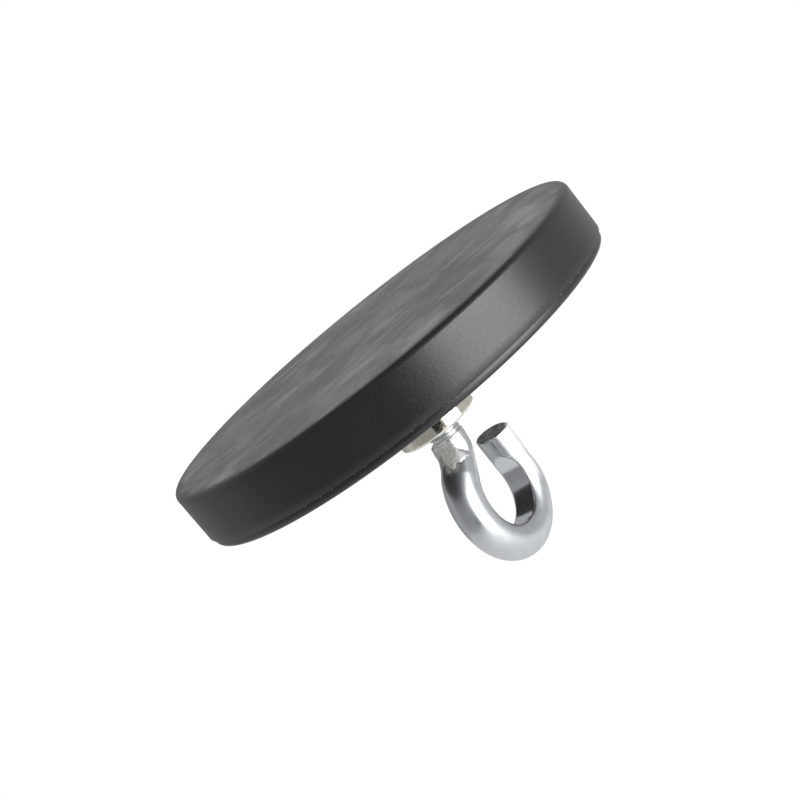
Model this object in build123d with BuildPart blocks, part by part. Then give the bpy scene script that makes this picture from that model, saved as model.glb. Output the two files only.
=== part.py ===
from build123d import *
import math
import os

os.makedirs("parts", exist_ok=True)

# Pot magnet with a rubber jacket and a screwed-in open hook, in millimetres.
# The magnetic face is the plane Z = 0 and looks up. The hook hangs down, and
# its wire lies in the XZ plane with the free tip on the +X side.

# ---- jacket -----------------------------------------------------------------
disc_diameter = 66.0
disc_height = 8.5
front_edge = 0.6             # chamfer at the edge of the magnetic face
parting_height = 1.1         # parting line, measured up from the back
parting_depth = 0.16
parting_width = 0.24
back_inset = 0.30            # the back mould half is this much smaller
shoulder_drop = 0.55         # the wall slopes in above the parting line
shoulder_inset = 0.14
back_edge = 0.3              # chamfer at the edge of the back

# ---- steel, magnets and skins -----------------------------------------------
front_skin = 1.0
magnet_diameter = 12.0
magnet_height = 3.0
magnet_count = 8
magnet_inset = 3.0           # from the plate's edge in to the magnets
side_skin = 2.0              # rubber round the plate's edge
plate_thickness = 3.0

# ---- threaded bush ----------------------------------------------------------
bush_diameter = 12.0
bush_projection = 7.1        # how far the bush stands out of the back
bush_edge = 0.6              # chamfer at the bush's lower end
spigot_diameter = 8.0
rivet_flare = 0.5            # the spigot is spread into the plate's chamfer
thread_diameter = 5.0
thread_clearance = 0.02      # radial, between the screw and the bore
bore_floor = 1.2             # steel left under the blind bore
drill_flat = 0.2
mouth_chamfer = 0.4
screw_end_gap = 0.5          # from the screw's end to the drilled end
screw_chamfer = 0.6

# ---- hook -------------------------------------------------------------------
wire_diameter = 5.2
thread_run = 2.0             # thread left showing under the bush
neck_start = 2.3             # straight shank under the bush, before the bend
neck_diameter = 4.7          # the grip dies squeeze the neck to this
neck_radius = 4.0            # centreline radius of the neck's bend
neck_angle = 50.0
neck_length = 3.1
loop_radius = 7.3            # centreline radius of the loop
loop_angle = 229.6
tip_length = 5.4
tip_edge = 0.25
mandrel_bite = 0.72          # how deep the mandrel flattens the inside
grip_length = 5.2            # from the bush down to the dies' lower end
grip_width = 4.2             # across the two side flats of the neck
grip_fade = 8.0              # the side flats run out downwards, in degrees
grip_turn = 14.0             # and are turned a little to -X, in degrees
grip_back = 2.10             # flat on the neck's outer side, from the axis
grip_lean = 24.0             # lean of that flat, in degrees

# ---- levels -----------------------------------------------------------------
disc_radius = disc_diameter / 2
plate_radius = disc_radius - side_skin
magnet_ring_radius = plate_radius - magnet_inset - magnet_diameter / 2
back_level = -disc_height
magnet_top = -front_skin
magnet_bottom = magnet_top - magnet_height
plate_bottom = magnet_bottom - plate_thickness
parting_level = back_level + parting_height
shoulder_radius = disc_radius - shoulder_inset
band_radius = disc_radius - back_inset
bush_end = back_level - bush_projection
bore_radius = thread_diameter / 2 + thread_clearance
bore_top = magnet_bottom - bore_floor
drill_tip = (bore_radius - drill_flat) / math.tan(math.radians(59))
screw_top = bore_top - drill_tip - screw_end_gap
thread_end = bush_end - thread_run
neck_level = bush_end - neck_start
wire_radius = wire_diameter / 2
neck_size = neck_diameter / 2
STANDING = (Align.CENTER, Align.CENTER, Align.MIN)


def save(piece, label):
    """Name a finished piece and write its STEP file."""
    piece.label = label
    export_step(piece, "parts/" + label + ".step")


# ---- threaded bush, riveted into the plate ----------------------------------
with BuildPart() as bush_blank:
    with Locations((0, 0, bush_end)):
        Cylinder(bush_diameter / 2, plate_bottom - bush_end, align=STANDING)
    bush_rim = bush_blank.edges().filter_by(GeomType.CIRCLE).sort_by(Axis.Z)[0]
    chamfer(bush_rim, length=bush_edge)
    with Locations((0, 0, plate_bottom)):
        Cylinder(spigot_diameter / 2, plate_thickness - rivet_flare, align=STANDING)
    with Locations((0, 0, magnet_bottom - rivet_flare)):
        Cone(
            spigot_diameter / 2,
            spigot_diameter / 2 + rivet_flare,
            rivet_flare,
            align=STANDING,
        )

with BuildPart() as bush:
    add(bush_blank.part)
    # blind tapped bore, with a chamfered mouth and a drilled end
    with Locations((0, 0, bush_end)):
        Cone(
            bore_radius + mouth_chamfer,
            bore_radius,
            mouth_chamfer,
            align=STANDING,
            mode=Mode.SUBTRACT,
        )
        Cylinder(
            bore_radius,
            bore_top - drill_tip - bush_end,
            align=STANDING,
            mode=Mode.SUBTRACT,
        )
    with Locations((0, 0, bore_top - drill_tip)):
        Cone(bore_radius, drill_flat, drill_tip, align=STANDING, mode=Mode.SUBTRACT)

# ---- steel yoke plate, countersunk for the rivet ----------------------------
with BuildPart() as plate:
    with Locations((0, 0, plate_bottom)):
        Cylinder(plate_radius, plate_thickness, align=STANDING)
    add(bush_blank.part, mode=Mode.SUBTRACT)

# ---- one magnet, then the ring of them --------------------------------------
with BuildPart() as magnet:
    with Locations((0, 0, magnet_bottom)):
        Cylinder(magnet_diameter / 2, magnet_height, align=STANDING)

magnet_places = PolarLocations(magnet_ring_radius, magnet_count)
magnets = [place * magnet.part for place in magnet_places.locations]

# ---- rubber jacket, moulded round the plate, magnets and bush ---------------
with BuildPart() as jacket:
    with BuildSketch(Plane.XZ):
        with BuildLine():
            Polyline(
                (0, 0),
                (disc_radius - front_edge, 0),
                (disc_radius, -front_edge),
                (disc_radius, parting_level + shoulder_drop),
                (shoulder_radius, parting_level + parting_width / 2),
                (shoulder_radius - parting_depth, parting_level),
                (band_radius, parting_level - parting_width / 2),
                (band_radius, back_level + back_edge),
                (band_radius - back_edge, back_level),
                (0, back_level),
                close=True,
            )
        make_face()
    revolve(axis=Axis.Z)
    add(plate.part, mode=Mode.SUBTRACT)
    for piece in magnets:
        add(piece, mode=Mode.SUBTRACT)
    add(bush_blank.part, mode=Mode.SUBTRACT)

# ---- hook: wire bent round a mandrel ----------------------------------------
with BuildLine(Plane.XZ) as neck_path:
    Line((0, thread_end), (0, neck_level))
    bend = JernArc((0, neck_level), (0, -1), neck_radius, -neck_angle)
slope_end = bend @ 1 + (bend % 1) * neck_length
with BuildLine(Plane.XZ) as loop_path:
    loop = JernArc(slope_end, bend % 1, loop_radius, loop_angle)
    tip = Line(loop @ 1, loop @ 1 + (loop % 1) * tip_length)

with BuildPart() as hook:
    with BuildSketch(Plane.XY.offset(thread_end)):
        Circle(neck_size)
    sweep(path=neck_path.wires()[0])
    # the wire swells back to its own size along the straight after the bend
    with Locations(Plane(origin=bend @ 1, x_dir=(0, 1, 0), z_dir=bend % 1)):
        Cone(neck_size, wire_radius, neck_length, align=STANDING)
    # side flats left by the grip dies
    for side in (-1, 1):
        flat = Location(
            (0, side * grip_width / 2, neck_level),
            (side * grip_fade, 0, side * grip_turn),
        )
        with Locations(flat):
            Box(
                wire_diameter * 1.4,
                wire_diameter,
                (grip_length - neck_start) * 2,
                align=(
                    Align.CENTER,
                    Align.MIN if side > 0 else Align.MAX,
                    Align.CENTER,
                ),
                mode=Mode.SUBTRACT,
            )
    # the flat on the outer side of the neck
    with Locations(Location((-grip_back, 0, neck_level), (0, grip_lean, 0))):
        Box(
            neck_size,
            wire_diameter * 2,
            (grip_length - neck_start) * 2,
            align=(Align.MAX, Align.CENTER, Align.CENTER),
            mode=Mode.SUBTRACT,
        )
    with BuildSketch(Plane(origin=loop @ 0, x_dir=(0, 1, 0), z_dir=loop % 0)):
        Circle(wire_radius)
    sweep(path=loop_path.wires()[0])
    tip_rim = hook.edges().filter_by(GeomType.CIRCLE).sort_by_distance(tip @ 1)[0]
    chamfer(tip_rim, length=tip_edge)
    # the bending mandrel leaves a flat, crisp-edged band inside the loop
    with Locations(Location(loop.arc_center, (90, 0, 0))):
        Cylinder(
            loop_radius - wire_radius + mandrel_bite,
            wire_diameter * 2,
            mode=Mode.SUBTRACT,
        )
    # the screwed end
    with Locations((0, 0, thread_end)):
        Cylinder(thread_diameter / 2, screw_top - thread_end, align=STANDING)
    screw_rim = hook.edges().filter_by(GeomType.CIRCLE).sort_by(Axis.Z)[-1]
    chamfer(screw_rim, length=screw_chamfer)

save(jacket.part, "rubber_jacket")
save(plate.part, "yoke_plate")
for number, piece in enumerate(magnets, start=1):
    save(piece, f"magnet_{number:02d}")
save(bush.part, "threaded_bush")
save(hook.part, "hook")
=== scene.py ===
"""The looks of a pot magnet: rubber jacket, nickel-plated bush and screw hook.

Everything is in metres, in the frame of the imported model: the magnetic face is
the plane Z = 0 and looks up, and the hook hangs towards -Z in the XZ plane.
"""

import logging
import math
from dataclasses import dataclass
from enum import Enum

import bpy
from mathutils import Matrix, Vector, noise


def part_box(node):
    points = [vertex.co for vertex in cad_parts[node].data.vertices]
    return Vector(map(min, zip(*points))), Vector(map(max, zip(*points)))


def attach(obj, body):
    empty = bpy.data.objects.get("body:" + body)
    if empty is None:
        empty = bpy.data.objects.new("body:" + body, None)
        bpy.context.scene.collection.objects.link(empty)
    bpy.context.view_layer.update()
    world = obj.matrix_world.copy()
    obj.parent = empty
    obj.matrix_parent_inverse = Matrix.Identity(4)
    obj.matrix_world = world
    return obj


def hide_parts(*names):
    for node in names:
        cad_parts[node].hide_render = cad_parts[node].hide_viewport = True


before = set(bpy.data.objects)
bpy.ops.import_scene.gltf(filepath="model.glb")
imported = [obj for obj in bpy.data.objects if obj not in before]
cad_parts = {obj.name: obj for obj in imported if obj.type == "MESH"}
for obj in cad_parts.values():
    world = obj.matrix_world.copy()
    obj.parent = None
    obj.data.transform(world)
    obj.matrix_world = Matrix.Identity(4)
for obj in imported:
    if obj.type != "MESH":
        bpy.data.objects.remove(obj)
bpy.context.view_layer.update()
log = logging.getLogger("pot_magnet")
MM = 0.001
POLE = 1e-9                       # a profile point nearer the axis than this is on it
Material = bpy.types.Material
Piece = bpy.types.Object
Socket = bpy.types.NodeSocket


# ---- numbers ----------------------------------------------------------------
def clamp(value: float) -> float:
    """Return a value kept between 0 and 1."""
    return min(1.0, max(0.0, value))


def shade(colour: tuple, by: float) -> tuple:
    """Return a colour times a number."""
    return tuple(part * by for part in colour)


def direction(azimuth: float, elevation: float = 0.0) -> Vector:
    """Return a direction; azimuth counts degrees from -Y towards +X."""
    a, e = math.radians(azimuth), math.radians(elevation)
    return Vector((math.sin(a) * math.cos(e), -math.cos(a) * math.cos(e), math.sin(e)))


# ---- meshes -----------------------------------------------------------------
def add_mesh(name: str, points: list, faces: list, smooth_angle: float = 32.0) -> Piece:
    """Make a mesh object at the origin and shade it smooth below an angle.

    Args:
        name: the object's name.
        points: vertex places in metres.
        faces: tuples of vertex numbers, seen anticlockwise from outside.
        smooth_angle: edges sharper than this many degrees stay crisp.

    Returns:
        The new object.
    """
    mesh = bpy.data.meshes.new(name)
    mesh.from_pydata(points, [], faces)
    mesh.validate()
    mesh.update()
    piece = bpy.data.objects.new(name, mesh)
    bpy.context.scene.collection.objects.link(piece)
    mesh.shade_smooth()
    mesh.set_sharp_from_angle(angle=math.radians(smooth_angle))
    return piece


def arc(centre: tuple, radius: float, start: float, end: float, steps: int) -> list:
    """Return the points of an arc in a profile plane.

    Args:
        centre: (r, z) of the arc's centre.
        radius: the arc's radius.
        start: first angle in degrees, from the +r direction towards +z.
        end: last angle in degrees.
        steps: how many segments to use.

    Returns:
        A list of (r, z) points.
    """
    turn = [math.radians(start + (end - start) * i / steps) for i in range(steps + 1)]
    return [(centre[0] + radius * math.cos(a), centre[1] + radius * math.sin(a)) for a in turn]


def lathe(name: str, profile: list, segments: int, smooth_angle: float = 32.0) -> Piece:
    """Turn a closed (r, z) profile about Z into a closed solid.

    Args:
        name: the object's name.
        profile: (r, z) points in millimetres, clockwise from the axis side at
            the top; a point with r = 0 becomes a pole.
        segments: how many facets go round.
        smooth_angle: edges sharper than this many degrees stay crisp.

    Returns:
        The new object.
    """
    points = []
    rows = []
    for r, z in profile:
        if r < POLE:
            rows.append([len(points)] * segments)
            points.append((0.0, 0.0, z * MM))
            continue
        rows.append(list(range(len(points), len(points) + segments)))
        for k in range(segments):
            turn = 2 * math.pi * k / segments
            points.append((r * MM * math.cos(turn), r * MM * math.sin(turn), z * MM))
    faces = []
    closed = profile[0][0] > POLE
    pairs = list(zip(rows, rows[1:])) + ([(rows[-1], rows[0])] if closed else [])
    for upper, lower in pairs:
        for k in range(segments):
            n = (k + 1) % segments
            corners = [upper[k], lower[k], lower[n], upper[n]]
            ring = [c for i, c in enumerate(corners) if c != corners[i - 1]]
            if len(ring) > 2:
                faces.append(tuple(ring))
    return add_mesh(name, points, faces, smooth_angle)


def bake_modifiers(piece: Piece) -> None:
    """Turn what the piece's modifiers make into its plain mesh.

    Args:
        piece: the piece, whose modifiers are then removed.
    """
    bpy.context.view_layer.update()
    depsgraph = bpy.context.evaluated_depsgraph_get()
    mesh = bpy.data.meshes.new_from_object(piece.evaluated_get(depsgraph))
    piece.modifiers.clear()
    piece.data = mesh


def dress(piece: Piece, material: Material) -> None:
    """Give the piece one material on all its faces."""
    piece.data.materials.clear()
    piece.data.materials.append(material)


# ---- node trees -------------------------------------------------------------
class Wiring:
    """Short calls that add and join the nodes of one tree."""

    def __init__(self, tree: bpy.types.NodeTree) -> None:
        """Take a tree and clear it."""
        self.tree = tree
        tree.nodes.clear()

    def link(self, value: object, socket: Socket) -> None:
        """Feed a socket with another socket or with a plain value.

        Args:
            value: the other socket or the value.
            socket: the socket that is fed.
        """
        if isinstance(value, Socket):
            self.tree.links.new(value, socket)
        else:
            socket.default_value = value

    def node(self, kind: str, inputs: dict = None, **settings: object) -> bpy.types.Node:
        """Add a node.

        Args:
            kind: the node's type.
            inputs: a socket or a plain value for each input, by name or number.
            settings: the node's own settings, which come before its inputs.

        Returns:
            The new node.
        """
        node = self.tree.nodes.new(kind)
        for name, value in settings.items():
            setattr(node, name, value)
        for key, value in (inputs or {}).items():
            self.link(value, node.inputs[key])
        return node

    def math(self, kind: str, a: object, b: object = 0.0) -> Socket:
        """Return the result of a Math node."""
        return self.node("ShaderNodeMath", {0: a, 1: b}, operation=kind).outputs[0]

    def times(self, a: object, b: object) -> Socket:
        """Return a product."""
        return self.math("MULTIPLY", a, b)

    def plus(self, a: object, b: object) -> Socket:
        """Return a sum."""
        return self.math("ADD", a, b)

    def ramp(self, value: object, low: float, high: float,
             to_low: float = 0.0, to_high: float = 1.0) -> Socket:
        """Map a range smoothly and clamped onto another.

        Args:
            value: what is mapped.
            low: one end of the range.
            high: its other end, which may be the lower one.
            to_low: the result at the first end.
            to_high: the result at the other end.

        Returns:
            The result's socket.
        """
        if high < low:
            low, high, to_low, to_high = high, low, to_high, to_low
        ends = {"From Min": low, "From Max": high, "To Min": to_low, "To Max": to_high}
        return self.node("ShaderNodeMapRange", {"Value": value, **ends},
                         interpolation_type="SMOOTHSTEP").outputs[0]


class Blend(Enum):
    """What a Mix node blends; its data type and its sockets' type."""

    COLOUR = ("RGBA", "RGBA")
    NUMBER = ("FLOAT", "VALUE")


class Shader(Wiring):
    """A material under construction, with short calls for its nodes."""

    def __init__(self, name: str) -> None:
        """Start a material that holds a Principled shader and an output.

        Args:
            name: the material's name.
        """
        self.material = bpy.data.materials.new(name)
        self.material.use_nodes = True
        super().__init__(self.material.node_tree)
        self.body = self.node("ShaderNodeBsdfPrincipled")
        self.node("ShaderNodeOutputMaterial", {"Surface": self.body.outputs[0]})
        self.place = self.node("ShaderNodeTexCoord").outputs["Object"]

    def feed(self, name: str, value: object) -> None:
        """Feed a socket of the Principled shader."""
        self.link(value, self.body.inputs[name])

    def scaled(self, scale: tuple, turn: float = 0.0, source: Socket = None) -> Socket:
        """Return a place turned about Z and then scaled.

        Args:
            scale: the factor along each axis.
            turn: degrees about Z.
            source: the place, or None for the object's own.

        Returns:
            The new place's socket.
        """
        place = source or self.place
        if turn:
            back = {"Vector": place, "Rotation": (0.0, 0.0, -math.radians(turn))}
            place = self.node("ShaderNodeMapping", back).outputs[0]
        return self.node("ShaderNodeMapping", {"Vector": place, "Scale": scale}).outputs[0]

    def spot(self, x: float, y: float, length: float, width: float, turn: float) -> Socket:
        """Return the distance from an oval spot's middle, 1 at its edge.

        Args:
            x: the spot's middle along X in metres.
            y: the spot's middle along Y in metres.
            length: half its length in metres.
            width: half its width in metres.
            turn: the direction of its length, degrees from +X.

        Returns:
            The distance's socket.
        """
        inputs = {
            "Vector": self.place,
            "Location": (x, y, 0.0),
            "Rotation": (0.0, 0.0, math.radians(turn)),
            "Scale": (length, width, 1.0),
        }
        return self.length(self.node("ShaderNodeMapping", inputs, vector_type="TEXTURE").outputs[0])

    def noise(self, scale: float, detail: float = 3.0, rough: float = 0.55,
              source: Socket = None, warp: float = 0.0) -> Socket:
        """Return a noise between 0 and 1; scale counts features per metre."""
        inputs = {"Vector": source or self.place, "Scale": scale, "Detail": detail,
                  "Roughness": rough, "Distortion": warp}
        return self.node("ShaderNodeTexNoise", inputs).outputs[0]

    def speckle(self, scale: float, detail: float, low: float, high: float,
                to_low: float = 0.0, to_high: float = 1.0) -> Socket:
        """Return a noise whose range is mapped onto another."""
        return self.ramp(self.noise(scale, detail), low, high, to_low, to_high)

    def mix(self, share: object, a: object, b: object, kind: Blend = Blend.COLOUR) -> Socket:
        """Blend two colours or numbers.

        Args:
            share: how much of the second, from 0 to 1.
            a: the first, as a socket or a plain value.
            b: the second.
            kind: whether they are colours or numbers.

        Returns:
            The blend's socket.
        """
        data, socket_type = kind.value
        node = self.node("ShaderNodeMix", {"Factor": share}, data_type=data)
        ends = [s for s in node.inputs if s.type == socket_type and s.name in ("A", "B")]
        for value, socket in zip((a, b), ends):
            self.link(value + (1.0,) if isinstance(value, tuple) else value, socket)
        return next(s for s in node.outputs if s.type == socket_type)

    def height(self) -> Socket:
        """Return the Z coordinate of the object place."""
        return self.node("ShaderNodeSeparateXYZ", {0: self.place}).outputs["Z"]

    def length(self, vector: Socket) -> Socket:
        """Return a vector's length."""
        return self.node("ShaderNodeVectorMath", {0: vector}, operation="LENGTH").outputs["Value"]

    def attribute(self, name: str, output: str = "Fac") -> Socket:
        """Return a value that is stored on the mesh."""
        return self.node("ShaderNodeAttribute", attribute_name=name).outputs[output]

    def bump(self, height: object, depth: float, under: Socket = None) -> Socket:
        """Return a normal bent by a height; depth is in metres.

        Args:
            height: the height, from 0 to 1.
            depth: what a height of 1 is in metres.
            under: the normal that is bent, or None for the mesh's own.

        Returns:
            The normal's socket.
        """
        inputs = {"Strength": 1.0, "Distance": depth, "Height": height}
        if under:
            inputs["Normal"] = under
        return self.node("ShaderNodeBump", inputs).outputs[0]


# ---- geometry nodes ---------------------------------------------------------
class Growth(Wiring):
    """A Geometry Nodes tree with named inputs, and the piece it makes."""

    def __init__(self, name: str) -> None:
        """Start a tree that has only a geometry input and output.

        Args:
            name: the tree's name.
        """
        super().__init__(bpy.data.node_groups.new(name, "GeometryNodeTree"))
        for way in ("INPUT", "OUTPUT"):
            self.tree.interface.new_socket("Geometry", in_out=way, socket_type="NodeSocketGeometry")
        self.start = self.node("NodeGroupInput")
        self.values = {}

    def add(self, name: str, kind: str, value: object) -> Socket:
        """Add a named input, note its value and return its socket.

        Args:
            name: the input's name.
            kind: its socket's type.
            value: its value.

        Returns:
            The input's socket inside the tree.
        """
        item = self.tree.interface.new_socket(name, in_out="INPUT", socket_type=kind)
        self.values[item.identifier] = value
        return self.start.outputs[name]

    def size(self, name: str, value: float) -> Socket:
        """Add a named number."""
        return self.add(name, "NodeSocketFloat", value)

    def count(self, name: str, value: int) -> Socket:
        """Add a named whole number."""
        return self.add(name, "NodeSocketInt", value)

    def paint(self, name: str, value: Material) -> Socket:
        """Add a named material."""
        return self.add(name, "NodeSocketMaterial", value)

    def random(self, low: tuple, high: tuple, seed: int) -> Socket:
        """Return a random vector for each point.

        Args:
            low: the least of each coordinate.
            high: the greatest of each.
            seed: the fixed seed.

        Returns:
            The vector's socket.
        """
        inputs = {"Min": low, "Max": high, "Seed": seed}
        node = self.node("FunctionNodeRandomValue", inputs, data_type="FLOAT_VECTOR")
        return node.outputs["Value"]

    def sow(self, points: Socket, size: Socket, detail: int, turn: Socket, scale: Socket) -> Socket:
        """Put a small round grain on each point.

        Args:
            points: where the grains go.
            size: a grain's radius.
            detail: how finely a grain is divided.
            turn: each grain's rotation.
            scale: each grain's scale.

        Returns:
            The grains' socket.
        """
        grain = self.node("GeometryNodeMeshIcoSphere", {"Subdivisions": detail, "Radius": size})
        inputs = {"Points": points, "Instance": grain.outputs[0], "Rotation": turn, "Scale": scale}
        return self.node("GeometryNodeInstanceOnPoints", inputs).outputs[0]

    def finish(self, name: str, geometry: Socket, paint: Socket,
               base: bpy.types.Mesh = None) -> Piece:
        """Close the tree, run it once and keep its result as a plain mesh.

        Args:
            name: the new piece's name.
            geometry: what the tree made.
            paint: the socket of its material.
            base: the mesh that the tree works on, if it needs one.

        Returns:
            The new piece.
        """
        real = self.node("GeometryNodeRealizeInstances", {0: geometry}).outputs[0]
        done = self.node("GeometryNodeSetMaterial", {"Geometry": real, "Material": paint})
        self.node("NodeGroupOutput", {0: done.outputs[0]})
        piece = bpy.data.objects.new(name, base or bpy.data.meshes.new(name))
        bpy.context.scene.collection.objects.link(piece)
        modifier = piece.modifiers.new("grow", "NODES")
        modifier.node_group = self.tree
        for key, value in self.values.items():
            modifier[key] = value
        bake_modifiers(piece)
        piece.data.name = name
        return piece


# ---- finishes ---------------------------------------------------------------
@dataclass(frozen=True)
class Smear:
    """A lighter scuffed place on the magnetic face, in millimetres."""

    x: float
    y: float
    length: float
    width: float
    share: float


@dataclass(frozen=True)
class RubberFinish:
    """Satin black moulded rubber, scuffed and chalky on the magnetic face."""

    base: tuple = (0.0014, 0.0013, 0.0018)
    worn: tuple = (0.174, 0.166, 0.162)
    olive: tuple = (0.161, 0.165, 0.150)
    chalk: tuple = (0.50, 0.495, 0.475)
    rim_rough: float = 0.36
    face_rough: float = 0.52
    scuff_turn: float = 38.6          # direction of the scuffs, degrees from +X
    scratch_turns: tuple = (-40.0, -62.0)  # directions of the fine scratches
    edge: float = 0.0322              # the scuffing ends at this radius
    smears: tuple = (
        Smear(10.9, -23.3, 9.5, 5.0, 0.85),
        Smear(-0.5, -26.6, 6.5, 3.6, 0.70),
        Smear(-18.3, -20.3, 6.5, 5.0, 0.85),
        Smear(1.9, 4.1, 5.5, 3.6, 0.45),
        Smear(20.9, -3.8, 10.0, 4.0, 0.40),
        Smear(12.5, -22.8, 8.0, 2.4, 0.70),
        Smear(-8.0, 23.0, 9.0, 4.0, 0.30),
    )

    def material(self) -> Material:
        """Build the rubber's material.

        Returns:
            The material.
        """
        s = Shader("rubber_satin")
        flat = s.ramp(s.height(), -0.00030, -0.00004)
        radius = s.length(s.scaled((1.0, 1.0, 0.0)))
        ragged = s.plus(radius, s.speckle(260.0, 3.0, 0.3, 0.7, -0.0005, 0.0005))
        on_face = s.times(flat, s.ramp(ragged, self.edge, self.edge - 0.0012))
        along = s.scaled((0.55, 1.0, 1.0), self.scuff_turn)
        smear = s.noise(95.0, 4.0, 0.55, along, 0.3)
        ragged_edge = s.ramp(s.noise(170.0, 3.0, 0.55, along, 0.6), 0.25, 0.75, -0.45, 0.45)
        first, second = (s.scaled((0.45, 1.0, 1.0), turn) for turn in self.scratch_turns)
        fine = s.noise(480.0, 3.0, 0.55, first, 0.3)
        streak = s.plus(s.times(s.noise(210.0, 3.0, 0.5, first, 0.7), 0.55),
                        s.times(s.noise(170.0, 3.0, 0.5, second, 0.7), 0.45))
        lines = s.noise(600.0, 2.0, 0.5, s.scaled((0.14, 1.0, 1.0), self.scratch_turns[0]), 0.2)
        chalk = s.plus(s.times(s.ramp(smear, 0.42, 0.66), 0.44),
                       s.times(s.ramp(streak, 0.47, 0.62), 0.42))
        chalk = s.plus(chalk, s.times(s.ramp(lines, 0.62, 0.74), 0.30))
        for spot in self.smears:
            sizes = (size * MM for size in (spot.x, spot.y, spot.length, spot.width))
            away = s.spot(*sizes, self.scuff_turn)
            mark = s.ramp(s.plus(away, ragged_edge), 1.30, 0.20, 0.0, spot.share)
            chalk = s.math("MAXIMUM", chalk, mark)
        chalk = s.times(chalk, s.ramp(fine, 0.30, 0.62, 0.55, 1.0))
        tint = s.mix(s.ramp(s.noise(70.0, 2.0, 0.5, along, 0.5), 0.38, 0.62), self.worn, self.olive)
        black = s.mix(on_face, self.base, tint)
        s.feed("Base Color", s.mix(s.times(on_face, chalk), black, self.chalk))
        grain = s.noise(3600.0, 2.0, 0.6)
        mottle = s.noise(1500.0, 3.0, 0.6)
        rough = s.mix(on_face, self.rim_rough, self.face_rough, Blend.NUMBER)
        s.feed("Roughness", s.plus(rough, s.ramp(grain, 0.3, 0.7, -0.02, 0.02)))
        pits = s.plus(s.times(grain, 0.8), mottle)
        s.feed("Normal", s.bump(s.times(fine, on_face), 0.00003, s.bump(pits, 0.000011)))
        s.feed("IOR", 1.60)
        s.feed("Specular Tint", (1.0, 0.955, 1.0, 1.0))
        return s.material


@dataclass(frozen=True)
class FlashFinish:
    """Torn moulding flash, paler than the skin round it."""

    base: tuple = (0.34, 0.335, 0.33)

    def material(self) -> Material:
        """Build the flash's material.

        Returns:
            The material.
        """
        s = Shader("rubber_flash")
        tone = s.speckle(1800.0, 2.0, 0.35, 0.65)
        s.feed("Base Color", s.mix(tone, self.base, shade(self.base, 0.15)))
        s.feed("Roughness", 0.55)
        return s.material


@dataclass(frozen=True)
class NickelFinish:
    """Bright warm nickel plate over a turned surface."""

    base: tuple = (0.72, 0.695, 0.625)
    rough: float = 0.07
    turning_pitch: float = 0.00016

    def material(self) -> Material:
        """Build the nickel plate's material.

        Returns:
            The material.
        """
        s = Shader("bright_nickel")
        cloud = s.noise(700.0, 3.0, 0.6)
        s.feed("Base Color", s.mix(s.ramp(cloud, 0.35, 0.75), self.base, shade(self.base, 0.86)))
        s.feed("Metallic", 1.0)
        s.feed("Roughness", s.speckle(2600.0, 2.0, 0.3, 0.7, self.rough - 0.03, self.rough + 0.06))
        rings = s.noise(1.0 / self.turning_pitch, 1.0, 0.5, s.scaled((0.01, 0.01, 1.0)))
        dents = s.noise(2200.0, 2.0, 0.5)
        s.feed("Normal", s.bump(dents, 0.000004, s.bump(rings, 0.000003)))
        return s.material


@dataclass(frozen=True)
class ZincFinish:
    """Bright blue-white zinc plate on drawn wire."""

    base: tuple = (0.565, 0.592, 0.61)
    dull: tuple = (0.70, 0.71, 0.685)
    sheared: tuple = (0.30, 0.305, 0.295)
    # pale matt colour of the tip's streaked patch: painted light
    painted_light_pale: tuple = (0.86, 0.87, 0.89)
    rough: float = 0.30

    def material(self) -> Material:
        """Build the zinc plate's material.

        Returns:
            The material.
        """
        s = Shader("bright_zinc")
        wire = s.attribute("UVMap", "Vector")
        drawn = s.noise(1.0, 3.0, 0.6, s.scaled((300.0, 9.0, 1.0), 0.0, wire))
        drag = s.noise(1.0, 2.0, 0.5, s.scaled((90.0, 40.0, 1.0), 0.0, wire))
        cloud = s.noise(420.0, 4.0, 0.6, warp=0.4)
        crust = s.noise(1500.0, 4.0, 0.62)
        worked = s.attribute("worked")
        cut = s.attribute("sheared")
        streaks = s.noise(1.0, 3.0, 0.55, s.scaled((170.0, 26.0, 1.0), 0.0, wire))
        # the tip's streaked patch: the streaks are real, its pale matt colour and lost metal sheen
        # are painted light
        streaks_and_light = s.times(s.attribute("streaks_and_light"), s.ramp(streaks, 0.30, 0.62, 0.25, 1.0))
        tone = s.mix(s.ramp(cloud, 0.38, 0.72), self.base, shade(self.base, 0.90))
        patch = s.ramp(crust, 0.36, 0.60, 0.45, 1.0)
        matt = s.times(worked, patch)
        tone = s.mix(matt, tone, self.dull)
        tone = s.mix(streaks_and_light, tone, self.painted_light_pale)
        torn = s.mix(s.ramp(crust, 0.38, 0.62), shade(self.sheared, 0.70),
                     shade(self.sheared, 1.5))
        tone = s.mix(cut, tone, torn)
        s.feed("Base Color", tone)
        loss = s.plus(s.times(matt, 0.45), s.times(streaks_and_light, 0.70))
        s.feed("Metallic", s.math("SUBTRACT", 1.0, loss))
        rough = s.plus(s.ramp(drawn, 0.3, 0.7, self.rough - 0.02, self.rough + 0.05),
                       s.times(worked, 0.16))
        rough = s.plus(rough, s.times(streaks_and_light, 0.30))
        rough = s.math("SUBTRACT", rough, s.times(s.attribute("rubbed"), 0.17))
        s.feed("Roughness", s.plus(rough, s.times(cut, 0.28)))
        first = s.bump(s.plus(drawn, s.times(drag, 0.4)), 0.0000030)
        second = s.bump(s.times(streaks, s.attribute("streaks_and_light")), 0.00002, first)
        ridges = s.times(s.plus(worked, cut), crust)
        s.feed("Normal", s.bump(ridges, 0.00009, second))
        return s.material


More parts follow.
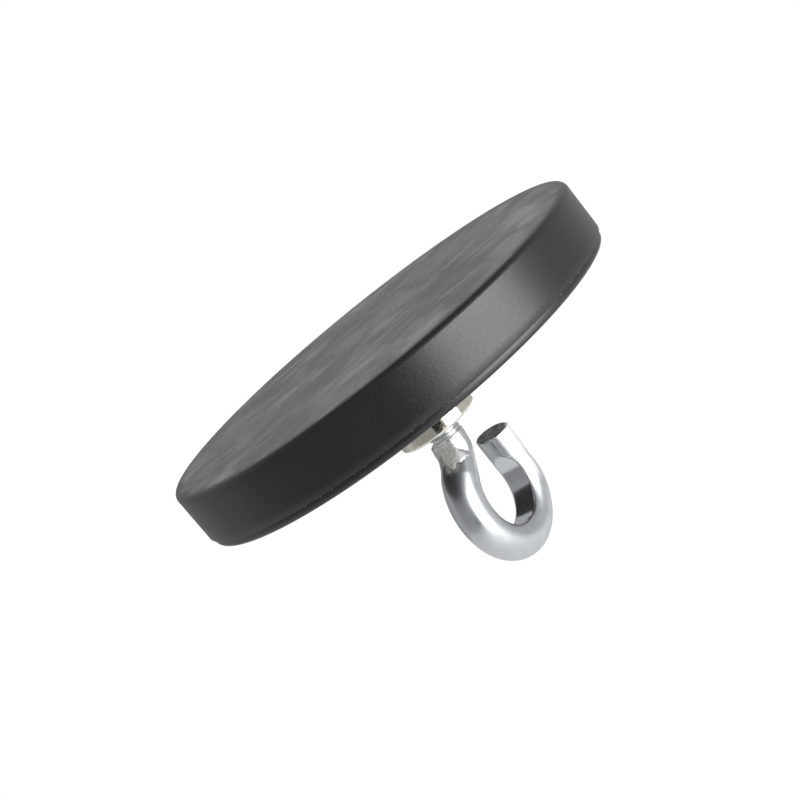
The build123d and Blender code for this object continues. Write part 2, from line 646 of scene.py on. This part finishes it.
@dataclass(frozen=True)
class CrumbFinish:
    """Pale crumbs of zinc salt on the worked neck."""

    base: tuple = (0.62, 0.63, 0.61)

    def material(self) -> Material:
        """Build the crumbs' material.

        Returns:
            The material.
        """
        s = Shader("zinc_salt")
        tone = s.speckle(2200.0, 2.0, 0.35, 0.65)
        s.feed("Base Color", s.mix(tone, self.base, shade(self.base, 0.6)))
        s.feed("Roughness", 0.5)
        return s.material


@dataclass(frozen=True)
class PlainMetalFinish:
    """A plated metal that the rubber hides."""

    name: str
    base: tuple
    rough: float

    def material(self) -> Material:
        """Build the metal's material.

        Returns:
            The material.
        """
        s = Shader(self.name)
        cloud = s.noise(300.0, 4.0, 0.6)
        s.feed("Base Color", s.mix(s.ramp(cloud, 0.3, 0.7), self.base, shade(self.base, 0.8)))
        s.feed("Metallic", 1.0)
        s.feed("Roughness", s.speckle(1500.0, 2.0, 0.3, 0.7, self.rough - 0.04, self.rough + 0.06))
        s.feed("Normal", s.bump(s.noise(3000.0, 2.0), 0.000006))
        return s.material

# ---- rubber jacket ----------------------------------------------------------
@dataclass
class RubberJacket:
    """The moulded skin round the plate and magnets, in millimetres."""

    radius: float = 33.0
    height: float = 8.5
    front_round: float = 0.85
    parting_height: float = 1.1
    parting_depth: float = 0.03
    parting_width: float = 0.12
    back_inset: float = 0.24
    back_draft: float = 0.10
    lip: float = 0.08
    nibs: int = 460
    nib_size: float = 0.075
    nib_sink: float = 0.02       # the nibs' middles lie this deep in the band
    nib_patches: float = 110.0   # patches of flash per metre
    back_round: float = 0.45
    segments: int = 288

    def profile(self) -> list:
        """Return the section's outline, with the pockets of what it holds.

        Returns:
            A list of (r, z) points in millimetres.
        """
        line = -self.height + self.parting_height
        half = self.parting_width / 2
        band = self.radius - self.back_inset
        plate_low, plate_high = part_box("yoke_plate")
        magnet_low, magnet_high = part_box("magnet_01")
        bush_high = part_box("threaded_bush")[1]
        plate_r = plate_high[0] / MM
        ring_out = magnet_high[0] / MM
        ring_in = magnet_low[0] / MM
        face = [(r, 0.0) for r in (0.0, 4.0, 9.0, 14.0, 19.0, 24.0, 28.0, 30.5)]
        corner = (self.radius - self.front_round, -self.front_round)
        face += arc(corner, self.front_round, 90, 0, 10)
        wall = [(self.radius, z) for z in (-2.0, -3.5, -5.0, -6.2)]
        wall += [(self.radius, line + half + self.lip), (self.radius - self.lip * 0.4, line + half)]
        wall += [(band - self.parting_depth, line), (band, line - half)]
        low = -self.height + self.back_round
        wall += arc((band - self.back_draft - self.back_round, low), self.back_round, -6, -90, 5)
        back = [(r, -self.height) for r in (29.0, 24.0, 18.0, 12.0, 8.0)]
        inner = [
            (bush_high[0] / MM, -self.height),
            (bush_high[0] / MM, plate_low[2] / MM),
            (plate_r, plate_low[2] / MM),
            (plate_r, plate_high[2] / MM),
            (ring_out, plate_high[2] / MM),
            (ring_out, magnet_high[2] / MM),
            (ring_in, magnet_high[2] / MM),
            (ring_in, plate_high[2] / MM),
            (0.0, plate_high[2] / MM),
        ]
        return face + wall + back + inner

    def build(self, finish: RubberFinish) -> list:
        """Make the jacket and return its pieces.

        Args:
            finish: the rubber's finish.

        Returns:
            The skin and the flash.
        """
        rubber = finish.material()
        skin = lathe("jacket_skin", self.profile(), self.segments, 40.0)
        dress(skin, rubber)
        flash = self.flash(FlashFinish().material())
        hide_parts("rubber_jacket")
        for piece in (skin, flash):
            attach(piece, "root")
        return [skin, flash]

    def flash(self, rubber: Material) -> Piece:
        """Scatter torn flash along the parting line with a node tree.

        Args:
            rubber: the flash's material.

        Returns:
            The flash as one piece.
        """
        grow = Growth("parting_flash")
        count = grow.count("Count", self.nibs)
        radius = grow.size("Radius", (self.radius - self.back_inset - self.nib_sink) * MM)
        level = grow.size("Level", (-self.height + self.parting_height) * MM)
        nib = grow.size("Nib size", self.nib_size * MM)
        paint = grow.paint("Rubber", rubber)
        chance = grow.random((0.0, -1.0, 0.0), (2 * math.pi, 1.0, 1.0), 7)
        turn, wander = grow.node("ShaderNodeSeparateXYZ", {0: chance}).outputs[:2]
        x, y = (grow.times(grow.math(kind, turn), radius) for kind in ("COSINE", "SINE"))
        z = grow.plus(level, grow.times(wander, nib))
        place = grow.node("ShaderNodeCombineXYZ", {0: x, 1: y, 2: z}).outputs[0]
        points = grow.node("GeometryNodePoints", {"Count": count, "Position": place}).outputs[0]
        patchy = grow.node("ShaderNodeTexNoise", {"Scale": self.nib_patches}).outputs[0]
        spare = {"Geometry": points, "Selection": grow.math("LESS_THAN", patchy, 0.50)}
        kept = grow.node("GeometryNodeDeleteGeometry", spare).outputs[0]
        turns = grow.random((0.0, 0.0, 0.0), (6.28, 6.28, 6.28), 11)
        scales = grow.random((0.4, 0.3, 0.3), (1.5, 1.0, 0.9), 13)
        return grow.finish("jacket_flash", grow.sow(kept, nib, 1, turns, scales), paint)


# ---- threaded bush ----------------------------------------------------------
@dataclass
class ThreadedBush:
    """The turned and riveted bush, in millimetres."""

    radius: float = 6.0
    end: float = -15.9
    end_round: float = 0.38
    bore: float = 2.52
    mouth: float = 0.4
    spigot: float = 4.0
    flare: float = 0.5
    bore_end: float = -6.6
    drill_end: float = -5.2
    drill_flat: float = 0.2
    segments: int = 128

    def profile(self) -> list:
        """Return the section's outline, from the rivet round to the bore.

        Returns:
            A list of (r, z) points in millimetres.
        """
        low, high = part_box("threaded_bush")
        plate_low, plate_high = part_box("yoke_plate")
        top = high[2] / MM
        step = plate_low[2] / MM
        outer = [(0.0, top), (self.spigot + self.flare, top), (self.spigot, top - self.flare)]
        outer += [(self.spigot, step), (self.radius, step)]
        outer += [(self.radius, z) for z in (-8.6, -10.5, -12.5, -14.0)]
        corner = (self.radius - self.end_round, self.end + self.end_round)
        outer += arc(corner, self.end_round, 0, -90, 8)
        outer += [(self.bore + self.mouth, self.end), (self.bore, self.end + self.mouth)]
        outer += [(self.bore, self.bore_end), (self.drill_flat, self.drill_end)]
        outer += [(0.0, self.drill_end)]
        return outer

    def build(self, finish: NickelFinish) -> list:
        """Make the bush and return its pieces.

        Args:
            finish: the nickel plate's finish.

        Returns:
            A list with the bush.
        """
        bush = lathe("nickel_bush", self.profile(), self.segments, 35.0)
        dress(bush, finish.material())
        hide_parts("threaded_bush")
        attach(bush, "root")
        return [bush]


# ---- hook -------------------------------------------------------------------
FREE = 99.0                       # a limit where nothing holds the skin back


@dataclass(frozen=True)
class GripFlat:
    """A flat that a grip die pressed into the neck, in millimetres."""

    azimuth: float        # where the flat looks, degrees from -Y towards +X
    depth: float          # from the wire's centreline
    start: float          # how far past the thread it is at its full depth
    rise: float           # how long it takes to get there
    end: float            # how far past the thread it starts to run out
    fade: float           # how long the run-out is

    def limit(self, heading: Vector, out: Vector, radius: float, past: float) -> float:
        """Return how far the flat lets the skin go from a section's centre.

        Args:
            heading: the wire's heading there.
            out: the direction in the section.
            radius: the wire's radius there.
            past: how far the section is past the thread's end.

        Returns:
            The distance, or a large one where the flat doesn't reach.
        """
        normal = direction(self.azimuth)
        normal = (normal - heading * normal.dot(heading)).normalized()
        facing = out.dot(normal)
        if facing < 0.05:
            return FREE
        share = max((self.start - past) / self.rise, (past - self.end) / self.fade)
        share = clamp(share)
        share = share * share * (3.0 - 2.0 * share)
        return (self.depth + (radius * 1.04 - self.depth) * share) / facing


@dataclass(frozen=True)
class NeckCrust:
    """Where the grip dies roughened the neck; millimetres and degrees."""

    before: float = -0.5         # it is looked for from here, past the thread
    run: float = 9.0             # and up to here
    middle: float = -20.0        # the bearing at which it reaches furthest
    length: float = 6.6          # how far it reaches there
    left_slope: float = 0.024    # how much it shortens for each degree
    right_slope: float = 0.038
    ragged_start: float = 0.3
    ragged_end: float = 0.5
    rise: float = 0.6
    fall: float = 0.35
    back: float = -112.0         # it ends at this bearing
    back_fade: float = 14.0


@dataclass(frozen=True)
class StreakedLitPatch:
    """Real streaks on one side of the tip, with a pale matt colour there that is painted light;
    millimetres and degrees.
    """

    reach: float = 11.0          # it is looked for this far from the tip
    length: float = 9.5
    length_fade: float = 3.5
    first: float = -98.0         # its first and last bearings
    first_fade: float = 16.0
    last: float = -2.0
    last_fade: float = 22.0


class WireEnd(Enum):
    """Which end of the wire a cap closes; the value is its way along the wire."""

    SCREW = -1.0
    TIP = 1.0


@dataclass
class WireStation:
    """A place on the wire's centreline, with its heading and radius."""

    place: Vector
    heading: Vector
    radius: float
    along: float

    def side(self) -> Vector:
        """Return the direction in the wire's plane, towards the loop's middle."""
        return Vector((-self.heading.z, 0.0, self.heading.x))

    def out(self, turn: float) -> Vector:
        """Return the direction at an angle round the wire."""
        return self.side() * math.cos(turn) + Vector((0.0, math.sin(turn), 0.0))


@dataclass
class ScrewHook:
    """The bent wire with its screwed end, in millimetres."""

    wire: float = 2.594
    thread_core: float = 2.12
    thread_crest: float = 2.47
    thread_pitch: float = 0.8
    thread_hidden: float = 1.2   # the ridge goes on this far into the bush
    thread_run_out: float = 0.16
    ridge_foot: float = 0.80     # shares of the pitch
    ridge_crest: float = 0.22
    ridge_sink: float = 0.03     # the ridge's foot lies this deep in the core
    top: float = -9.0
    bush_end: float = -15.9
    thread_end: float = -17.5
    neck_level: float = -17.9
    neck: float = 2.35
    neck_radius: float = 4.0
    neck_angle: float = 50.0
    neck_length: float = 3.1
    loop_radius: float = 7.3
    loop_angle: float = 229.6
    tip_length: float = 5.4
    tip_edge: float = 0.36
    tip_tilt: float = 6.0
    edge_share: float = 0.12     # how far the shear mark reaches over the edge
    cut_depth: float = 0.05
    cut_grain: float = 1.6
    mandrel_bite: float = 0.72
    grip_run: float = 7.5    # the grip flats are looked for this far
    squash: float = 0.55     # the dies pushed the neck out sideways this far
    squash_side: float = 218.6
    squash_rise: float = 0.5
    squash_end: float = 5.4
    squash_fade: float = 3.0
    worn_side: float = 308.6  # the worn side looks this way, from -Y towards +X
    worn_rise: float = 0.19
    crumbs: float = 2.0      # per square millimetre of worked skin
    crumb_size: float = 0.075
    crust_grain: float = 2.6
    crust_lift: float = 0.02
    crust_depth: float = 0.028
    crispness: float = 60.0      # how sharply the flats meet the round
    step: float = 0.16
    around: int = 144
    crust: NeckCrust = NeckCrust()
    # the streaked patch on the tip, whose pale colour is painted light
    drag: StreakedLitPatch = StreakedLitPatch()
    flats: tuple = (
        GripFlat(330.0, 2.18, 3.0, 2.8, 3.4, 1.8),
        GripFlat(280.0, 2.16, 0.4, 0.5, 3.4, 3.2),
        GripFlat(152.0, 2.12, 0.4, 0.5, 3.0, 2.4),
    )

    def stations(self) -> list:
        """Walk the centreline from the screw's end to the tip.

        Returns:
            The stations in order.
        """
        spots = []
        place = Vector((0.0, 0.0, self.top))
        heading = Vector((0.0, 0.0, -1.0))
        travelled = 0.0

        def go(length: float, bend: float, r_from: float, r_to: float) -> None:
            """Add stations along a straight or an arc; bend is its radius.

            Args:
                length: how far to go.
                bend: the arc's radius, or 0 for a straight; its sign gives the side.
                r_from: the wire's radius at the start.
                r_to: its radius at the end.
            """
            nonlocal place, heading, travelled
            count = max(2, round(length / self.step))
            side = Vector((-heading.z, 0.0, heading.x))
            for i in range(count + 1):
                part = i / count
                spot = place + heading * length * part
                head = heading
                if bend:
                    turn = length * part / bend
                    spot = place + side * bend * (1 - math.cos(turn))
                    spot += heading * bend * math.sin(turn)
                    head = heading * math.cos(turn) + side * math.sin(turn)
                radius = r_from + (r_to - r_from) * part
                if not spots or part > 0:
                    spots.append(WireStation(spot, head, radius, travelled + length * part))
            place, heading = spot, head
            travelled += length

        go(self.top - self.thread_end, 0.0, self.thread_core, self.thread_core)
        go(self.thread_end - self.neck_level, 0.0, self.thread_core, self.neck)
        bent = math.radians(self.neck_angle) * self.neck_radius
        go(bent, -self.neck_radius, self.neck, self.neck)
        go(self.neck_length, 0.0, self.neck, self.wire)
        self.loop_centre = place + spots[-1].side() * self.loop_radius
        go(math.radians(self.loop_angle) * self.loop_radius, self.loop_radius, self.wire, self.wire)
        go(self.tip_length, 0.0, self.wire, self.wire)
        self.total = travelled
        return spots

    def past_thread(self, spot: WireStation) -> float:
        """Return how far a station is past the thread's end."""
        return spot.along - (self.top - self.thread_end)

    def bearing(self, spot: WireStation, out: Vector) -> float:
        """Return the angle in degrees round the wire from its worn side.

        Args:
            spot: the station.
            out: the direction from its centre.

        Returns:
            The angle, 0 on the worn side and positive towards +X.
        """
        front = direction(self.worn_side) + Vector((0.0, 0.0, self.worn_rise))
        front = (front - spot.heading * front.dot(spot.heading)).normalized()
        return math.degrees(math.atan2(out.dot(front.cross(spot.heading)), out.dot(front)))

    def worked(self, spot: WireStation, out: Vector) -> float:
        """Return how much the grip dies roughened the skin at a place.

        Args:
            spot: the station.
            out: the direction from its centre.

        Returns:
            A share between 0 and 1.
        """
        past = self.past_thread(spot)
        crust = self.crust
        if not crust.before < past < crust.run:
            return 0.0
        turn = self.bearing(spot, out)
        ragged = noise.fractal(out * 1.7 + Vector((0.0, 0.0, past * 0.6)), 0.6, 2.2, 3)
        slope = crust.left_slope if turn < crust.middle else crust.right_slope
        lobe = crust.length - slope * abs(turn - crust.middle) + crust.ragged_end * ragged
        start = 0.1 if turn < 0.0 else 0.1 + min(3.0, turn * 0.6) + 0.018 * turn
        start += crust.ragged_start * ragged
        rise = clamp((past - start) / crust.rise)
        fall = clamp((lobe - past) / crust.fall)
        return rise * fall * clamp((turn - crust.back) / crust.back_fade)

    def streaks_and_light(self, spot: WireStation, out: Vector) -> float:
        """Return the share of the tip's streaked patch at a place, whose pale matt colour is
        painted light.

        Args:
            spot: the station.
            out: the direction from its centre.

        Returns:
            A share between 0 and 1.
        """
        drag = self.drag
        left = self.total - spot.along
        if left > drag.reach:
            return 0.0
        turn = self.bearing(spot, out)
        beside = clamp((turn - drag.first) / drag.first_fade)
        beside *= clamp((drag.last - turn) / drag.last_fade)
        return beside * clamp((drag.length - left) / drag.length_fade)

    def mandrel(self, spot: WireStation, turn: float) -> float:
        """Return how far the bending mandrel lets the skin go.

        Args:
            spot: the station.
            turn: the angle round the wire.

        Returns:
            The distance, or a large one where the mandrel doesn't reach.
        """
        if math.cos(turn) > 0.2:
            mandrel = self.loop_radius - self.wire + self.mandrel_bite
            away = spot.place - self.loop_centre
            near = away.dot(spot.side())
            inside = near * near - away.length_squared + mandrel * mandrel
            if inside > 0 and near < 0:
                return (-near - math.sqrt(inside)) / math.cos(turn)
        return FREE

    def reach(self, spot: WireStation, turn: float) -> float:
        """Return how far the skin is from the centreline in one direction.

        Args:
            spot: the station.
            turn: the angle round the wire.

        Returns:
            The distance.
        """
        out = spot.out(turn)
        past = self.past_thread(spot)
        radius = spot.radius
        if 0.0 < past < self.grip_run:
            side = max(0.0, out.dot(direction(self.squash_side)))
            fade = clamp((self.squash_end - past) / self.squash_fade)
            radius += self.squash * side * min(1.0, past / self.squash_rise) * fade
        limits = [radius, self.mandrel(spot, turn)]
        if 0.0 < past < self.grip_run:
            limits += [flat.limit(spot.heading, out, radius, past) for flat in self.flats]
        power = self.crispness
        far = sum((limit / radius) ** -power for limit in limits) ** (-1.0 / power) * radius
        rough = self.worked(spot, out)
        if rough > 0:
            where = (spot.place + out * far) * self.crust_grain
            far += rough * (self.crust_lift + self.crust_depth * noise.fractal(where, 0.7, 2.2, 4))
        return far

    def skin(self, spots: list) -> tuple:
        """Return the points, wire coordinates, faces and named shares.

        Args:
            spots: the stations in order.

        Returns:
            The four, with the shares as a dictionary by name.
        """
        points, uvs, cut, worked, streaks_and_light, rubbed = [], [], [], [], [], []
        n = self.around
        for spot in spots:
            for k in range(n):
                turn = 2 * math.pi * k / n
                points.append(spot.place + spot.out(turn) * self.reach(spot, turn))
                uvs.append((spot.along * MM, k / n))
                cut.append(0.0)
                worked.append(self.worked(spot, spot.out(turn)))
                # share of the tip's streaked patch, whose paleness is painted light
                streaks_and_light.append(self.streaks_and_light(spot, spot.out(turn)))
                rubbed.append(float(self.mandrel(spot, turn) < spot.radius))
        faces = []
        for i in range(len(spots) - 1):
            for k in range(n):
                m = (k + 1) % n
                faces.append((i * n + m, i * n + k, (i + 1) * n + k, (i + 1) * n + m))
        self.cap(points, uvs, cut, faces, spots[0], 0, WireEnd.SCREW)
        self.cap(points, uvs, cut, faces, spots[-1], (len(spots) - 1) * n, WireEnd.TIP)
        shares = {"worked": worked, "streaks_and_light": streaks_and_light, "rubbed": rubbed}
        for values in shares.values():
            values.extend([0.0] * (len(points) - len(values)))
        return points, uvs, faces, {"sheared": cut, **shares}

    def cap(self, points: list, uvs: list, cut: list, faces: list,
            spot: WireStation, base: int, end: WireEnd) -> None:
        """Close one end of the wire with a slightly rough sheared face.

        Args:
            points: the mesh's points so far, which this adds to.
            uvs: the wire coordinates so far.
            cut: the cut share so far.
            faces: the faces so far.
            spot: the last station at that end.
            base: the number of its ring's first point.
            end: which end of the wire it is.
        """
        n = self.around
        way = end.value
        at_tip = end is WireEnd.TIP
        tilt = math.tan(math.radians(self.tip_tilt)) if at_tip else 0.0
        edge = self.tip_edge
        rings = [(spot.radius - edge * (1 - math.cos(a)), edge * math.sin(a), self.edge_share)
                 for a in (0.4, 0.8, 1.2)]
        rings += [(spot.radius - edge, edge, 1.0)]
        rings += [(spot.radius * part, edge, 1.0) for part in (0.80, 0.64, 0.48, 0.32, 0.16)]
        last = base
        for radius, forward, share in rings:
            first = len(points)
            for k in range(n):
                turn = 2 * math.pi * k / n
                out = spot.out(turn)
                rise = forward + out.y * radius * tilt
                grain = noise.fractal((spot.place + out * radius) * self.cut_grain, 0.7, 2.1, 4)
                rise += share * self.cut_depth * grain
                points.append(spot.place + out * radius + spot.heading * way * rise)
                uvs.append(((spot.along + way * (spot.radius - radius)) * MM, k / n))
                cut.append(share if at_tip else 0.0)
            for k in range(n):
                m = (k + 1) % n
                corners = (last + m, last + k, first + k, first + m)
                faces.append(corners if at_tip else corners[::-1])
            last = first
        centre = len(points)
        points.append(spot.place + spot.heading * way * self.tip_edge)
        uvs.append((spot.along * MM, 0.5))
        cut.append(1.0 if at_tip else 0.0)
        for k in range(n):
            pair = (last + (k + 1) % n, last + k)
            faces.append((centre,) + (pair if at_tip else pair[::-1]))

    def build(self, finish: ZincFinish) -> list:
        """Make the hook and its thread, and return them.

        Args:
            finish: the zinc plate's finish.

        Returns:
            The wire, the thread's ridge and the crumbs.
        """
        spots = self.stations()
        points, uvs, faces, shares = self.skin(spots)
        hook = add_mesh("zinc_hook", [tuple(p * MM) for p in points], faces, 34.0)
        layer = hook.data.uv_layers.new(name="UVMap")
        for loop in hook.data.loops:
            layer.data[loop.index].uv = uvs[loop.vertex_index]
        for name, values in shares.items():
            hook.data.attributes.new(name, "FLOAT", "POINT").data.foreach_set("value", values)
        zinc = finish.material()
        dress(hook, zinc)
        pieces = [hook, self.thread(zinc), self.crumb_scatter(hook, CrumbFinish().material())]
        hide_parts("hook")
        for piece in pieces:
            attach(piece, "root")
        return pieces

    def crumb_scatter(self, hook: Piece, salt: Material) -> Piece:
        """Scatter crumbs over the worked neck with a node tree.

        Args:
            hook: the finished wire, whose "worked" shares say where.
            salt: the crumbs' material.

        Returns:
            The crumbs as one piece.
        """
        grow = Growth("neck_crumbs")
        density = grow.size("Density", self.crumbs / MM ** 2)
        size = grow.size("Crumb size", self.crumb_size * MM)
        paint = grow.paint("Salt", salt)
        share = grow.node("GeometryNodeInputNamedAttribute", {"Name": "worked"}, data_type="FLOAT")
        inputs = {
            "Seed": 5,
            "Mesh": grow.start.outputs["Geometry"],
            "Density": grow.times(share.outputs["Attribute"], density),
        }
        spread = grow.node("GeometryNodeDistributePointsOnFaces", inputs).outputs
        scales = grow.random((0.4, 0.4, 0.2), (1.8, 1.2, 0.6), 17)
        grains = grow.sow(spread["Points"], size, 2, spread["Rotation"], scales)
        return grow.finish("hook_crumbs", grains, paint, hook.data)

    def thread(self, zinc: Material) -> Piece:
        """Wind the thread's ridge round the core with a node tree.

        Args:
            zinc: the ridge's material.

        Returns:
            The ridge as one piece.
        """
        grow = Growth("thread_ridge")
        sunk = self.ridge_sink
        shown = self.bush_end + self.thread_hidden - self.thread_end
        pitch = grow.size("Pitch", self.thread_pitch * MM)
        turns = grow.size("Turns", shown / self.thread_pitch)
        core = grow.size("Core radius", (self.thread_core - sunk) * MM)
        rise = grow.size("Ridge height", (self.thread_crest - self.thread_core + sunk) * MM)
        start = grow.size("Lower end", self.thread_end * MM)
        paint = grow.paint("Metal", zinc)
        run_in = grow.math("SUBTRACT", core, grow.size("Run-out", self.thread_run_out * MM))
        inputs = {"Resolution": 72, "Rotations": turns, "Start Radius": run_in, "End Radius": core,
                  "Height": grow.times(pitch, turns)}
        helix = grow.node("GeometryNodeCurveSpiral", inputs).outputs["Curve"]
        helix = grow.node("GeometryNodeSetCurveNormal", {"Curve": helix}, mode="Z_UP").outputs[0]
        inputs = {
            "Bottom Width": grow.times(pitch, self.ridge_foot),
            "Top Width": grow.times(pitch, self.ridge_crest),
            "Offset": 0.0,
            "Height": rise,
        }
        section = grow.node("GeometryNodeCurvePrimitiveQuadrilateral", inputs, mode="TRAPEZOID")
        shift = grow.node("ShaderNodeCombineXYZ", {0: grow.times(rise, -0.5)}).outputs[0]
        inputs = {"Rotation": (0.0, 0.0, math.radians(90.0)), "Geometry": section.outputs[0],
                  "Translation": shift}
        stood = grow.node("GeometryNodeTransform", inputs).outputs[0]
        inputs = {"Fill Caps": True, "Curve": helix, "Profile Curve": stood}
        sweep = grow.node("GeometryNodeCurveToMesh", inputs).outputs[0]
        height = grow.node("ShaderNodeCombineXYZ", {2: start}).outputs[0]
        lift = grow.node("GeometryNodeTransform", {"Translation": height, "Geometry": sweep})
        return grow.finish("hook_thread", lift.outputs[0], paint)


# ---- inner pieces -----------------------------------------------------------
@dataclass
class InnerPieces:
    """The yoke plate and magnets, which keep their CAD shape."""

    plate: PlainMetalFinish = PlainMetalFinish("zinc_steel", (0.50, 0.51, 0.53), 0.32)
    magnet: PlainMetalFinish = PlainMetalFinish("magnet_plate", (0.66, 0.65, 0.62), 0.22)

    def build(self) -> list:
        """Dress the carried-over nodes and return them.

        Returns:
            The plate and the magnets.
        """
        pieces = []
        magnet, plate = self.magnet.material(), self.plate.material()
        for name, node in sorted(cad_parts.items()):
            if name.startswith("magnet_") or name == "yoke_plate":
                dress(node, plate if name == "yoke_plate" else magnet)
                pieces.append(node)
        return pieces


# ---- studio -----------------------------------------------------------------
@dataclass(frozen=True)
class TentGap:
    """A darker part of the tent, as a soft round spot; angles in degrees."""

    azimuth: float
    elevation: float
    inner: float
    outer: float
    level: float


@dataclass(frozen=True)
class Softbox:
    """An area lamp that looks at the object; degrees and metres."""

    name: str
    azimuth: float
    elevation: float
    distance: float
    size: tuple
    radiance: float       # how bright its face is, where 1 is white


@dataclass
class Studio:
    """Camera, lamp, world and floor."""

    camera_place: tuple = (-0.15683, -0.12277, 0.02748)
    camera_aim: tuple = (0.00064, 0.00293, -0.01029)
    camera_roll: float = -39.18
    lens: float = 67.8
    floor_level: float = -0.20
    floor_size: float = 0.9
    floor_colour: tuple = (0.80, 0.80, 0.80, 1.0)
    floor_glow: float = 0.78
    floor_mirrored: float = 0.60
    tent_light: float = 0.52
    tent_seen: float = 0.60
    middle: tuple = (0.0, 0.0, -0.015)
    key: Softbox = Softbox("key_box", 350.0, -1.2, 0.50, (0.46, 0.318), 6.0)
    gaps: tuple = (
        TentGap(268.0, -5.0, 30.0, 68.0, 0.62),
        TentGap(304.5, -10.0, 12.0, 16.5, 0.08),
        TentGap(155.0, -6.0, 18.0, 46.0, 0.70),
        TentGap(0.0, 90.0, 10.0, 62.0, 0.58),
    )

    def camera(self) -> None:
        """Set up the camera."""
        data = bpy.data.cameras.new("camera")
        data.lens = self.lens
        data.sensor_width = 36.0
        data.clip_start = 0.001
        data.clip_end = 50.0
        eye = bpy.data.objects.new("camera", data)
        bpy.context.scene.collection.objects.link(eye)
        place = Vector(self.camera_place)
        towards = Vector(self.camera_aim) - place
        look = towards.to_track_quat("-Z", "Y").to_matrix().to_4x4()
        roll = Matrix.Rotation(math.radians(self.camera_roll), 4, "Z")
        eye.matrix_world = Matrix.Translation(place) @ look @ roll
        bpy.context.scene.camera = eye

    def hang(self, box: Softbox) -> None:
        """Hang an area lamp.

        Args:
            box: the lamp's place, size and brightness.
        """
        data = bpy.data.lights.new(box.name, "AREA")
        data.shape = "RECTANGLE"
        data.size, data.size_y = box.size
        data.energy = box.radiance * math.pi * box.size[0] * box.size[1]
        lamp = bpy.data.objects.new(box.name, data)
        bpy.context.scene.collection.objects.link(lamp)
        way = direction(box.azimuth, box.elevation)
        turn = way.to_track_quat("Z", "Y").to_matrix().to_4x4()
        lamp.matrix_world = Matrix.Translation(Vector(self.middle) + way * box.distance) @ turn

    def world(self) -> None:
        """Make the pale tent round the object, with the openings in it."""
        world = bpy.data.worlds.new("tent")
        bpy.context.scene.world = world
        world.use_nodes = True
        sky = Wiring(world.node_tree)
        place = sky.node("ShaderNodeTexCoord").outputs["Generated"]
        dim = None
        for gap in self.gaps:
            inputs = {0: place, 1: direction(gap.azimuth, gap.elevation)}
            near = sky.node("ShaderNodeVectorMath", inputs, operation="DOT_PRODUCT")
            far, close = (math.cos(math.radians(angle)) for angle in (gap.outer, gap.inner))
            fade = sky.ramp(near.outputs["Value"], far, close, 1.0, gap.level)
            dim = fade if dim is None else sky.times(dim, fade)
        path = sky.node("ShaderNodeLightPath").outputs
        lit = self.background(sky, sky.times(dim, self.tent_light))
        mirrored = self.background(sky, sky.times(dim, self.tent_seen))
        white = self.background(sky, 1.0)
        inputs = {0: path["Is Glossy Ray"], 1: lit, 2: mirrored}
        tent = sky.node("ShaderNodeMixShader", inputs).outputs[0]
        plain = sky.math("MAXIMUM", path["Is Camera Ray"], path["Is Transmission Ray"])
        seen = sky.node("ShaderNodeMixShader", {0: plain, 1: tent, 2: white}).outputs[0]
        sky.node("ShaderNodeOutputWorld", {"Surface": seen})

    def background(self, sky: Wiring, level: object) -> Socket:
        """Return a white background of one level."""
        inputs = {"Color": (1.0, 1.0, 1.0, 1.0), "Strength": level}
        return sky.node("ShaderNodeBackground", inputs).outputs[0]

    def floor(self) -> None:
        """Lay the pale floor, which shows as white with a soft shadow."""
        half = self.floor_size / 2
        corners = [(-half, -half), (half, -half), (half, half), (-half, half)]
        floor = add_mesh("floor", [(x, y, self.floor_level) for x, y in corners], [(0, 1, 2, 3)])
        material = bpy.data.materials.new("pale_floor")
        material.use_nodes = True
        tree = Wiring(material.node_tree)
        matt = tree.node("ShaderNodeBsdfDiffuse", {"Color": self.floor_colour}).outputs[0]
        path = tree.node("ShaderNodeLightPath").outputs
        seen = path["Is Camera Ray"]
        mirrored = tree.times(path["Is Glossy Ray"], self.floor_mirrored)
        for kind in (mirrored, path["Is Transmission Ray"]):
            seen = tree.math("MAXIMUM", seen, kind)
        glow = tree.node("ShaderNodeEmission", {"Strength": tree.times(seen, self.floor_glow)})
        both = tree.node("ShaderNodeAddShader", {0: matt, 1: glow.outputs[0]}).outputs[0]
        tree.node("ShaderNodeOutputMaterial", {"Surface": both})
        dress(floor, material)

    def build(self) -> None:
        """Set up everything round the object."""
        self.camera()
        self.world()
        self.floor()
        self.hang(self.key)
        bpy.context.scene.view_settings.view_transform = "Standard"


def main() -> None:
    """Build each sub-assembly in order, then the studio, and note the sizes."""
    logging.basicConfig(level=logging.INFO, format="%(name)s: %(message)s")
    built = {
        "rubber jacket": RubberJacket().build(RubberFinish()),
        "threaded bush": ThreadedBush().build(NickelFinish()),
        "screw hook": ScrewHook().build(ZincFinish()),
        "inner pieces": InnerPieces().build(),
    }
    for name, pieces in built.items():
        for piece in pieces:
            log.info("%s: %s, %d faces", name, piece.name, len(piece.data.polygons))
    Studio().build()


if __name__ == "__main__":
    main()
